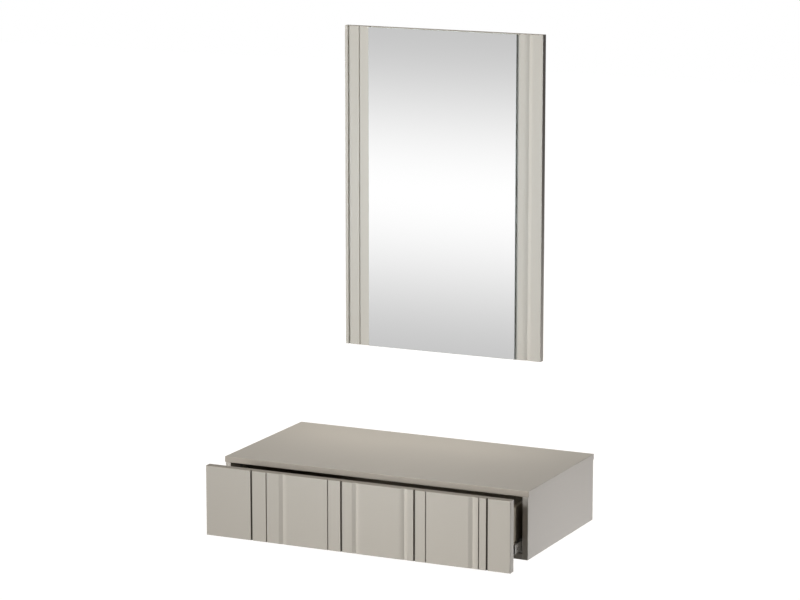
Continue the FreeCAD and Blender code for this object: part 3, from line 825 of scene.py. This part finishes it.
class FrameReader:
    """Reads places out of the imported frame."""

    ALONG_GAP = 0.1
    BESIDE_GAP = 2.5 * MM
    CAM_GAP = 20 * MM
    NEAR = 0.02

    @staticmethod
    def points(node: str) -> np.ndarray:
        """Corner points of a CAD node.

        Args:
            node: its name.

        Returns:
            The points, one in a row.
        """
        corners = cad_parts[node].data.vertices
        flat = np.empty(3 * len(corners), np.float32)
        corners.foreach_get("co", flat)
        return flat.reshape(-1, 3).astype(float)

    @staticmethod
    def split(points: np.ndarray, axis: int, gap: float) -> list[np.ndarray]:
        """Part points where they leave a gap along one axis.

        Args:
            points: the points to part.
            axis: which coordinate to look along.
            gap: the least gap.

        Returns:
            The parted groups.
        """
        ordered = points[np.argsort(points[:, axis])]
        breaks = np.flatnonzero(np.diff(ordered[:, axis]) > gap) + 1
        return np.split(ordered, breaks)

    @classmethod
    def groups(cls, node: str, gaps: Sequence[float]) -> list[np.ndarray]:
        """Part a node's points into those of its separate pieces.

        Args:
            node: the node's name.
            gaps: the least gap between pieces along each axis.

        Returns:
            The points of each piece.
        """
        groups = [cls.points(node)]
        for axis in (0, 1, 2) * 2:
            groups = [part for group in groups for part in cls.split(group, axis, gaps[axis])]
        return groups

    @classmethod
    def seats(cls, node: str, axis: Axis, end: SeatEnd) -> list[Seat]:
        """Find each turned piece of a node that holds several.

        Args:
            node: the node's name.
            axis: the axis that the pieces lie along.
            end: which end their faces are on.

        Returns:
            A seat for each piece.
        """
        gaps = [cls.BESIDE_GAP] * 3
        gaps[axis.value] = cls.ALONG_GAP
        return [cls.seat(group, axis, end) for group in cls.groups(node, gaps)]

    @classmethod
    def cam_seats(cls, node: str) -> list[Seat]:
        """Find each cam of a node; a cam lies along its own least width.

        Args:
            node: the node's name.

        Returns:
            A seat for each cam.
        """
        groups = cls.groups(node, [cls.CAM_GAP] * 3)
        axes = [Axis(int(np.ptp(group, axis=0).argmin())) for group in groups]
        return [cls.seat(group, axis, SeatEnd.SOCKET) for group, axis in zip(groups, axes)]

    @staticmethod
    def seat(points: np.ndarray, axis: Axis, end: SeatEnd) -> Seat:
        """Measure one turned piece.

        Args:
            points: its corner points.
            axis: the axis that it lies along.
            end: which end its face is on.

        Returns:
            Its seat.
        """
        low, high = points.min(0), points.max(0)
        middle = (low + high) / 2
        beside = np.delete(points - middle, axis.value, 1)
        radii = np.linalg.norm(beside, axis=1)
        along = points[:, axis.value]
        marks = {
            SeatEnd.WIDEST: along[radii > (1 - FrameReader.NEAR) * radii.max()].mean(),
            SeatEnd.SOCKET: along[radii < (1 + FrameReader.NEAR) * radii.min()].mean(),
            SeatEnd.LOW: low[axis.value],
        }
        at_low = marks[end] < middle[axis.value]
        face = middle.copy()
        face[axis.value] = low[axis.value] if at_low else high[axis.value]
        inward = np.zeros(3)
        inward[axis.value] = 1.0 if at_low else -1.0
        width = (high - low)[[place for place in range(3) if place != axis.value]].max()
        return Seat(face, inward, width / 2, (high - low)[axis.value])


class Grid(NamedTuple):
    """Points of a turned shape on rows and turns: length along the axis, radius and turn of each."""

    length: np.ndarray
    radius: np.ndarray
    turn: np.ndarray


@dataclass(frozen=True)
class TurnedShape:
    """A turned shape, made of rows that run round its axis from the face's middle to the far end."""

    radius: float
    length: float
    columns: int = 48
    face_rows: int = 2

    def rows(self) -> tuple[np.ndarray, np.ndarray]:
        """Length and radius of each row; each kind of shape has its own."""
        raise NotImplementedError

    def worked(self, grid: Grid) -> Grid:
        """Cut marks into the turned rows; a plain shape has none."""
        return grid

    def cross(self, grid: Grid) -> tuple[np.ndarray, np.ndarray, np.ndarray]:
        """Measure a cross on the face.

        Args:
            grid: the plain rows.

        Returns:
            One on the face's rows, each point's share of the radius, and how far it lies from the
            nearer line of the cross, in the same share.
        """
        share = grid.radius / self.radius
        nearer = np.minimum(np.abs(share * np.cos(grid.turn)), np.abs(share * np.sin(grid.turn)))
        return np.arange(len(share))[:, None] < self.face_rows, share, nearer

    def points(self) -> np.ndarray:
        """Points (length, radius cos turn, radius sin turn) on a grid of rows and turns.

        Returns:
            An array of rows, columns and three coordinates.
        """
        length, radius = self.rows()
        turn = np.linspace(0.0, TURN, self.columns, endpoint=False)
        plain = np.broadcast_arrays(length[:, None], radius[:, None], turn)
        length, radius, turn = self.worked(Grid(*plain))
        return np.stack([length, radius * np.cos(turn), radius * np.sin(turn)], -1)

    def seated(self, seats: Sequence[Seat]) -> np.ndarray:
        """The shape at each seat, its length axis on the seat's way in.

        Args:
            seats: where the copies go.

        Returns:
            An array of copies, rows, columns and three coordinates.
        """
        inward = np.array([seat.inward for seat in seats])
        second = np.roll(inward, 1, axis=1)
        axes = np.stack([inward, second, np.cross(inward, second)], 1)
        faces = np.array([seat.face for seat in seats])
        return np.einsum("rci,nij->nrcj", self.points(), axes) + faces[:, None, None, :]


@dataclass(frozen=True)
class CrossHeadScrew(TurnedShape):
    """Screw with a cross recess in its head and a thread that winds along its shank."""

    face_rows: int = 15
    form: HeadForm = HeadForm.COUNTERSUNK
    head_height: float = 1.4 * MM
    shank_radius: float = 1.75 * MM
    thread_pitch: float = 1.6 * MM
    thread_depth: float = 0.45 * MM
    point_length: float = 4.0 * MM
    recess_reach: float = 0.62
    recess_width: float = 0.17
    recess_depth: float = 1.0 * MM

    def rows(self) -> tuple[np.ndarray, np.ndarray]:
        """Face, head, shank and point, one after another.

        Returns:
            Length and radius of each row.
        """
        face = np.linspace(0.0, 0.92, self.face_rows) * self.radius
        crown = np.zeros(self.face_rows)
        if self.form is HeadForm.PAN:
            dome = 0.45 * self.head_height
            crown = dome * (face / self.radius) ** 4
            neck_length = np.array([0.6, 0.9, 1.0, 1.0]) * self.head_height
            neck_radius = np.array([self.radius, self.radius, 0.97 * self.radius, self.shank_radius])
        else:
            neck_length = np.array([0.04, 0.12, 1.0]) * self.head_height
            neck_radius = np.array([0.99 * self.radius, self.radius, self.shank_radius])
        start = 1.05 * self.head_height
        turns = (self.length - start) / self.thread_pitch
        shank = np.linspace(start, self.length, max(8, round(8 * turns)))
        taper = np.clip((self.length - shank) / self.point_length, 0.0, 1.0) ** 0.8
        length = np.concatenate([crown, neck_length, shank])
        return length, np.concatenate([face, neck_radius, self.shank_radius * taper])

    def worked(self, grid: Grid) -> Grid:
        """Sink the cross into the face and wind the thread.

        The recess is deep where a point lies within half an arm's width of either cross line, and
        runs out along the arms. The thread takes away a triangle wave of the length less the turn.

        Args:
            grid: the plain rows.

        Returns:
            The rows with the recess and the thread.
        """
        length, radius, turn = grid
        on_face, share, nearer = self.cross(grid)
        inside = np.clip(1.6 - nearer / self.recess_width, 0.0, 1.0)
        ends = np.clip((self.recess_reach - share) / (0.35 * self.recess_reach), 0.0, 1.0)
        sunk = length + on_face * self.recess_depth * inside * ends
        wave = np.abs(2 * np.mod(length / self.thread_pitch - turn / TURN, 1.0) - 1)
        runs_in = np.clip((length - 1.2 * self.head_height) / self.thread_pitch, 0.0, 1.0)
        cut = np.minimum(self.thread_depth, 0.5 * radius) * runs_in * np.where(on_face, 0.0, wave)
        return Grid(sunk, radius - cut, turn)


@dataclass(frozen=True)
class CamDisc(TurnedShape):
    """Cam of a furniture fitting: a rimmed disc with a cross slot in its face."""

    face_rows: int = 17
    rim: float = 0.86
    rim_depth: float = 0.5 * MM
    slot_reach: float = 0.66
    slot_width: float = 0.13
    slot_depth: float = 2.2 * MM
    slot_ramp: float = 0.12

    def rows(self) -> tuple[np.ndarray, np.ndarray]:
        """Sunk face, raised rim, wall and far face.

        Returns:
            Length and radius of each row.
        """
        face = np.linspace(0.0, self.rim, self.face_rows) * self.radius
        dish = np.full(self.face_rows, self.rim_depth)
        rim_length = np.array([0.15, 0.0, 0.0, 0.2, 0.6]) * self.rim_depth
        rim_radius = np.array([self.rim + 0.015, self.rim + 0.03, 0.965, 0.99, 1.0]) * self.radius
        wall_length = np.array([0.5, 0.97, 1.0, 1.0, 1.0]) * self.length
        wall_radius = np.array([1.0, 1.0, 0.97, 0.5, 0.0]) * self.radius
        length = np.concatenate([dish, rim_length, wall_length])
        return length, np.concatenate([face, rim_radius, wall_radius])

    def worked(self, grid: Grid) -> Grid:
        """Sink the cross slot into the face, full depth between straight walls.

        Args:
            grid: the plain rows.

        Returns:
            The rows with the slot.
        """
        on_face, share, nearer = self.cross(grid)
        inside = np.clip(2.2 - 1.2 * nearer / self.slot_width, 0.0, 1.0)
        ends = np.clip((self.slot_reach - share) / self.slot_ramp, 0.0, 1.0)
        return grid._replace(length=grid.length + on_face * self.slot_depth * inside * ends)


@dataclass(frozen=True)
class BumperDome(TurnedShape):
    """Self-adhesive bumper: a low dome on a flat foot, a little lower than its room."""

    crown: float = 0.97

    def rows(self) -> tuple[np.ndarray, np.ndarray]:
        """Flat foot, then a quarter of a superellipse up to the crown.

        Returns:
            Length and radius of each row.
        """
        angle = np.linspace(0.0, TURN / 4, 20)
        length = np.concatenate([[0.0, 0.0], self.crown * self.length * np.sin(angle) ** 0.8])
        radius = np.concatenate([[0.0, 0.6], np.cos(angle) ** 0.7])
        radius[-1] = 0.0
        return length, radius * self.radius


class MeshMaker:
    """Puts numpy surfaces into Blender meshes."""

    SHARP = math.radians(38)

    @classmethod
    def turned(cls, name: str, points: np.ndarray) -> bpy.types.Object:
        """Closed turned surfaces, each with a pole at both ends.

        Args:
            name: the piece's name.
            points: copies, rows, columns and three coordinates; columns run round the axis.

        Returns:
            The new object.
        """
        copies, rows, columns, _ = points.shape
        body = points[:, 1:-1].reshape(copies, -1, 3)
        poles = points[:, [0, -1]].mean(2)
        corners = np.concatenate([body, poles], 1)
        ring = np.arange(columns)
        after = np.roll(ring, -1)
        start = columns * np.arange(rows - 3)[:, None]
        quads = np.stack([start + ring, start + columns + ring, start + columns + after, start + after], -1)
        last = columns * (rows - 3)
        top = np.full(columns, last + columns)
        caps = np.concatenate([
            np.stack([top, ring, after], -1),
            np.stack([top + 1, last + after, last + ring], -1),
        ])
        offset = corners.shape[1] * np.arange(copies)[:, None, None]
        faces = (quads.reshape(1, -1, 4) + offset).reshape(-1, 4).tolist()
        faces += (caps[None] + offset).reshape(-1, 3).tolist()
        return cls.made(name, corners.reshape(-1, 3), faces, smooth=True)

    @classmethod
    def sheet(cls, name: str, points: np.ndarray) -> bpy.types.Object:
        """Open sheet on a grid.

        Args:
            name: the piece's name.
            points: rows, columns and three coordinates.

        Returns:
            The new object.
        """
        rows, columns, _ = points.shape
        index = np.arange(rows * columns).reshape(rows, columns)
        quads = np.stack([index[:-1, :-1], index[:-1, 1:], index[1:, 1:], index[1:, :-1]], -1)
        return cls.made(name, points.reshape(-1, 3), quads.reshape(-1, 4).tolist(), smooth=False)

    @classmethod
    def made(cls, name: str, corners: np.ndarray, faces: list[list[int]], smooth: bool) -> bpy.types.Object:
        """Object from corners and faces.

        Args:
            name: the piece's name.
            corners: one point in a row.
            faces: corner numbers of each face.
            smooth: whether faces shade into each other below the sharp angle.

        Returns:
            The new object, linked to the scene.
        """
        mesh = bpy.data.meshes.new(name)
        mesh.from_pydata(corners.tolist(), [], faces)
        if smooth:
            mesh.shade_smooth()
            mesh.set_sharp_from_angle(angle=cls.SHARP)
        piece = bpy.data.objects.new(name, mesh)
        bpy.context.scene.collection.objects.link(piece)
        return piece


@dataclass
class Assembly:
    """A sub-assembly: CAD nodes that keep their shape, and new pieces that stand for others."""

    body: str

    def build(self) -> None:
        """Make the sub-assembly's new pieces; one with none makes nothing."""

    def dress(self) -> None:
        """Give its CAD nodes their finishes; each sub-assembly has its own."""
        raise NotImplementedError

    def cover(self, finish: Finish, *nodes: str) -> None:
        """Give CAD nodes a finish.

        Args:
            finish: the finish.
            nodes: the nodes' names.
        """
        for node in nodes:
            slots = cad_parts[node].data.materials
            slots.clear()
            slots.append(finish.material())
            LOG.info("%s: %s", node, finish.name)

    def fit(self, node: str, shape: TurnedShape, seats: Sequence[Seat], finish: Finish, slot: str) -> None:
        """Put turned pieces in the place of a node.

        Args:
            node: the CAD node that they stand for.
            shape: the shape of each.
            seats: where they sit.
            finish: their finish.
            slot: the record's material slot; not used.
        """
        piece = MeshMaker.turned(node + "_turned", shape.seated(seats))
        piece.data.materials.append(finish.material())
        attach(piece, self.body)
        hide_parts(node)
        LOG.info("%s: %d turned pieces, %s", piece.name, len(seats), finish.name)

    def screws(self, node: str, axis: Axis, finish: Finish, form: HeadForm, **sizes: float) -> None:
        """Put cross-headed screws in the place of a node.

        Args:
            node: the CAD node that they stand for.
            axis: the axis that they lie along.
            finish: their finish.
            form: the shape of their heads.
            sizes: other sizes of the screw.
        """
        seats = FrameReader.seats(node, axis, SeatEnd.WIDEST)
        shape = CrossHeadScrew(seats[0].radius, seats[0].length, form=form, **sizes)
        self.fit(node, shape, seats, finish, "screw_zinc")

    def cams(self, node: str, finish: Finish) -> None:
        """Put slotted cams with a finish in the place of a node."""
        seats = FrameReader.cam_seats(node)
        self.fit(node, CamDisc(seats[0].radius, seats[0].length), seats, finish, "cam_zinc")


SLIDE_ZINC = Steel("slide_zinc", Rgb(212, 210, 206), Rgb(174, 172, 168), 0.28, 700.0, 0.3)
CAGE_STEEL = Steel("cage_steel", Rgb(190, 193, 196), Rgb(150, 154, 158), 0.26, 400.0, 0.2)
BALL_STEEL = Steel("ball_steel", Rgb(216, 218, 220), Rgb(196, 198, 202), 0.10, 900.0, 0.3)
SCREW_ZINC = Steel("screw_zinc", Rgb(204, 205, 204), Rgb(160, 160, 158), 0.30, 1200.0, 0.4)
CAST_ZINC = Steel("cast_zinc", Rgb(184, 186, 188), Rgb(140, 143, 147), 0.46, 1800.0, 0.8, 0.03 * MM)
BOLT_STEEL = Steel("bolt_steel", Rgb(196, 192, 176), Rgb(160, 155, 138), 0.34, 1000.0, 0.4)
HANGER_ZINC = Steel("hanger_zinc", Rgb(202, 205, 208), Rgb(168, 172, 176), 0.36, 180.0, 0.6)


@dataclass
class Cabinet(Assembly):
    """Carcass of boards with its back sheet, fittings, hangers and wall plates."""

    body: str = "wall_unit"
    hanger_head: float = 2.0 * MM
    hanger_shank: float = 3.1 * MM
    hanger_recess: float = 1.3 * MM

    def build(self) -> None:
        """Make its cams and the hangers' screws."""
        self.cams("cabinet_cams", CAST_ZINC)
        self.screws(
            "hanger_screws", Axis.ACROSS, SCREW_ZINC, HeadForm.PAN,
            head_height=self.hanger_head, shank_radius=self.hanger_shank, recess_depth=self.hanger_recess,
        )

    def dress(self) -> None:
        """Give the boards, sheet and fittings their finishes."""
        ends = (Facing.FRONT, Facing.LEFT, Facing.RIGHT)
        # The top panel's front edge is painted darker and warmer: painted shade from the open drawer front.
        top = Laminate.on("top_laminate", "top_panel", *ends, front=Rgb(168, 159, 147))
        self.cover(top, "top_panel")
        sides = Laminate.on("side_laminate", "side_panel_left", Facing.FRONT)
        self.cover(sides, "side_panel_left", "side_panel_right")
        # The bottom panel's front edge is painted darker: painted shade behind the open drawer front.
        floor = Laminate.on("bottom_laminate", "bottom_panel", Facing.FRONT, front=Rgb(154, 148, 139))
        self.cover(floor, "bottom_panel")
        self.cover(Hardboard("back_hardboard"), "back_panel")
        self.cover(BOLT_STEEL, "cabinet_cam_bolts")
        self.cover(Beech("dowel_beech"), "cabinet_dowels")
        self.cover(HANGER_ZINC, "hanger_left", "hanger_right", "wall_plate_left", "wall_plate_right")


@dataclass
class Drawer(Assembly):
    """Milled front and box of the drawer, with its fittings."""

    body: str = "drawer"

    def build(self) -> None:
        """Make its cams, screws and bumpers."""
        self.cams("drawer_cams", CAST_ZINC)
        self.screws("drawer_back_screws", Axis.ACROSS, SCREW_ZINC, HeadForm.COUNTERSUNK)
        self.screws("drawer_bottom_screws", Axis.UP, SCREW_ZINC, HeadForm.COUNTERSUNK)
        seats = FrameReader.seats("front_bumpers", Axis.DEPTH, SeatEnd.LOW)
        dome = BumperDome(seats[0].radius, seats[0].length)
        self.fit("front_bumpers", dome, seats, Silicone("bumper_silicone"), "bumper_silicone")

    def dress(self) -> None:
        """Give the front, box and bolts their finishes."""
        self.cover(MilledFoil.on("front_foil", "drawer_front"), "drawer_front")
        box = LinenBoard("linen_board")
        self.cover(box, "drawer_side_left", "drawer_side_right", "drawer_back")
        self.cover(Hardboard("floor_hardboard", lacquered=Facing.TOP), "drawer_bottom")
        self.cover(BOLT_STEEL, "drawer_cam_bolts")


@dataclass
class SlideMembers(Assembly):
    """Members of the two telescopic slides that ride on one body."""

    members: tuple[str, ...] = ()
    screw_node: str = ""

    def build(self) -> None:
        """Make the screws that hold the members, where the body has any."""
        if self.screw_node:
            self.screws(self.screw_node, Axis.ACROSS, SCREW_ZINC, HeadForm.COUNTERSUNK)

    def dress(self) -> None:
        """Give the members their zinc."""
        self.cover(SLIDE_ZINC, *self.members)


@dataclass
class BallCages(Assembly):
    """Cages of one gap of the two slides, with their balls."""

    cages: tuple[str, ...] = ()
    balls: str = ""

    def dress(self) -> None:
        """Give the cages and balls their steel."""
        self.cover(CAGE_STEEL, *self.cages)
        self.cover(BALL_STEEL, self.balls)


@dataclass
class Mirror(Assembly):
    """Mirror pane on its milled board, with tapes and hanger plates."""

    body: str = "wall_unit"

    def build(self) -> None:
        """Make the hanger plates' screws."""
        self.screws("mirror_hanger_screws", Axis.DEPTH, SCREW_ZINC, HeadForm.COUNTERSUNK)

    def dress(self) -> None:
        """Give the board, pane, tapes and plates their finishes."""
        # The mirror board's groove tone is painted shade, lighter than the drawer front's; its top and
        # underside faces are darker.
        tones = {"groove_shade_and_fibre_fleck": Rgb(180, 175, 164), "ends": Rgb(130, 125, 117)}
        self.cover(MilledFoil.on("mirror_foil", "mirror_board", **tones), "mirror_board")
        self.cover(SilveredGlass("silvered_glass"), "mirror_glass")
        self.cover(Foam("foam_tape"), "mirror_tape")
        self.cover(HANGER_ZINC, "mirror_hanger_left", "mirror_hanger_right")


WARM = Rgb(255, 249, 238)
COOL = Rgb(243, 245, 255)
FROST = Rgb(224, 241, 255)
HAZE = Rgb(249, 250, 255)


@dataclass(frozen=True)
class Lamp:
    """A soft box: a rectangle of light that faces a point."""

    name: str
    place: tuple[float, float, float]
    target: tuple[float, float, float]
    size: tuple[float, float]
    power: float
    spread: float = 180.0
    tint: Rgb = Rgb(255, 255, 255)

    def hang(self) -> None:
        """Put the lamp in the scene, turned to its target."""
        light = bpy.data.lights.new(self.name, "AREA")
        light.shape = "RECTANGLE"
        light.size, light.size_y = self.size
        light.energy = self.power
        light.spread = math.radians(self.spread)
        light.color = self.tint.linear()[:3]
        lamp = bpy.data.objects.new(self.name, light)
        lamp.visible_camera = False
        lamp.visible_glossy = False
        lamp.location = self.place
        way = np.subtract(self.target, self.place)
        heading = math.atan2(way[1], way[0]) - TURN / 4
        pitch = TURN / 4 + math.atan2(way[2], math.hypot(way[0], way[1]))
        lamp.rotation_euler = (pitch, 0.0, heading)
        bpy.context.scene.collection.objects.link(lamp)
        LOG.info("%s: lamp of %g W", self.name, self.power)


@dataclass
class Studio:
    """Floor, reflector card, lamps, surrounding light and camera."""

    floor_half: float = 14.0
    card_distance: float = 3.0
    card_half: float = 5.0
    card_top: float = 8.0
    ambient: float = 0.02
    mirrored_sky: float = 0.41
    camera_place: tuple[float, float, float] = (3.5264, -7.7382, 2.1210)
    camera_yaw: float = 25.335
    camera_pitch: float = 11.005
    lens: float = 140.58
    sensor: float = 36.0
    lamps: tuple[Lamp, ...] = (
        Lamp("key_lamp", (-12.42, -15.1, 3.6), (0.0, -0.3, 0.3), (5.0, 8.0), 3760.0),
        Lamp("glass_lamp", (-0.3, -3.4, 1.5), (0.0, 0.0, 0.77), (0.6, 0.6), 2.6, 35.0, FROST),
        Lamp("front_lamp", (-2.93, -5.19, 1.1), (0.3, -0.57, 0.0), (0.5, 0.5), 0.34, 12.0),
        Lamp("over_lamp", (0.0, -0.3, 3.5), (0.0, -0.25, 0.0), (1.5, 1.5), 44.0, tint=WARM),
        Lamp("rear_lamp", (-1.6, 0.8, 1.8), (-0.2, -0.25, 0.06), (0.8, 0.8), 5.6, tint=WARM),
        Lamp("bar_lamp", (-0.07, -0.05, 0.30), (-0.07, -0.06, 0.0), (0.8, 0.04), 0.56, tint=WARM),
        Lamp("back_lamp", (0.0, 7.0, 0.4), (0.0, 0.0, 0.4), (1.2, 1.2), 320.0),
        Lamp("side_lamp", (1.1, -0.05, -0.45), (0.45, -0.22, -0.02), (0.4, 0.4), 0.4, tint=COOL),
        Lamp("far_side_lamp", (3.2, 1.2, -0.28), (0.45, -0.17, -0.12), (1.2, 1.2), 3.9, 24.0, HAZE),
    )

    def build(self) -> None:
        """Lay the floor, stand the card and hang the lamps."""
        across = np.linspace(-self.floor_half, self.floor_half, 3)
        x, y = np.meshgrid(across, across)
        floor = MeshMaker.sheet("floor", np.stack([x, y, np.full_like(x, FLOOR_LEVEL)], -1))
        floor.data.materials.append(FloorPaint("floor_paint").material())
        wide = np.linspace(-self.card_half, self.card_half, 3)
        tall = np.linspace(FLOOR_LEVEL, self.card_top, 3)
        x, z = np.meshgrid(wide, tall)
        card = MeshMaker.sheet("card", np.stack([x, np.full_like(x, -self.card_distance), z], -1))
        card.data.materials.append(CardPaint("card_paint").material())
        card.visible_camera = False
        card.visible_diffuse = False
        card.visible_shadow = False
        for lamp in self.lamps:
            lamp.hang()

    def dress(self) -> None:
        """Set the surrounding light: white where it is seen, and dim where it lights."""
        world = bpy.data.worlds.new("studio")
        world.use_nodes = True
        bpy.context.scene.world = world
        graph = ShaderGraph(world.node_tree)
        levels = (self.ambient, self.mirrored_sky, 1.0)
        around, mirrored, white = (
            graph.node("ShaderNodeBackground", {"Color": (1, 1, 1, 1), "Strength": level}).outputs[0]
            for level in levels
        )
        unseen = graph.node("ShaderNodeMixShader", {0: graph.rays(Ray.GLOSSY), 1: around, 2: mirrored})
        seen = graph.rays(Ray.CAMERA, Ray.THROUGH)
        mixed = graph.node("ShaderNodeMixShader", {0: seen, 1: unseen.outputs[0], 2: white})
        graph.node("ShaderNodeOutputWorld", {"Surface": mixed.outputs[0]})
        bpy.context.scene.view_settings.view_transform = "Standard"

    def aim(self) -> None:
        """Stand the camera where the photograph was taken from."""
        lens = bpy.data.cameras.new("camera")
        lens.lens = self.lens
        lens.sensor_width = self.sensor
        camera = bpy.data.objects.new("camera", lens)
        camera.location = self.camera_place
        camera.rotation_euler = (math.radians(90 - self.camera_pitch), 0.0, math.radians(self.camera_yaw))
        bpy.context.scene.collection.objects.link(camera)
        bpy.context.scene.camera = camera


def assemblies() -> list[Assembly]:
    """The sub-assemblies in the order in which they are made.

    Returns:
        The list of sub-assemblies.
    """
    return [
        Cabinet(),
        Drawer(),
        SlideMembers("wall_unit", ("slide_outer_left", "slide_outer_right"), "slide_outer_screws"),
        SlideMembers("slide_middles", ("slide_middle_left", "slide_middle_right")),
        SlideMembers("drawer", ("slide_inner_left", "slide_inner_right"), "slide_inner_screws"),
        BallCages("outer_cages", ("outer_cage_left", "outer_cage_right"), "outer_balls"),
        BallCages("inner_cages", ("inner_cage_left", "inner_cage_right"), "inner_balls"),
        Mirror(),
    ]


def main() -> None:
    """Build and dress each sub-assembly, then the studio round them."""
    logging.basicConfig(level=logging.INFO, format="%(name)s: %(message)s")
    for assembly in assemblies():
        assembly.build()
        assembly.dress()
    studio = Studio()
    studio.build()
    studio.dress()
    studio.aim()


if __name__ == "__main__":
    main()
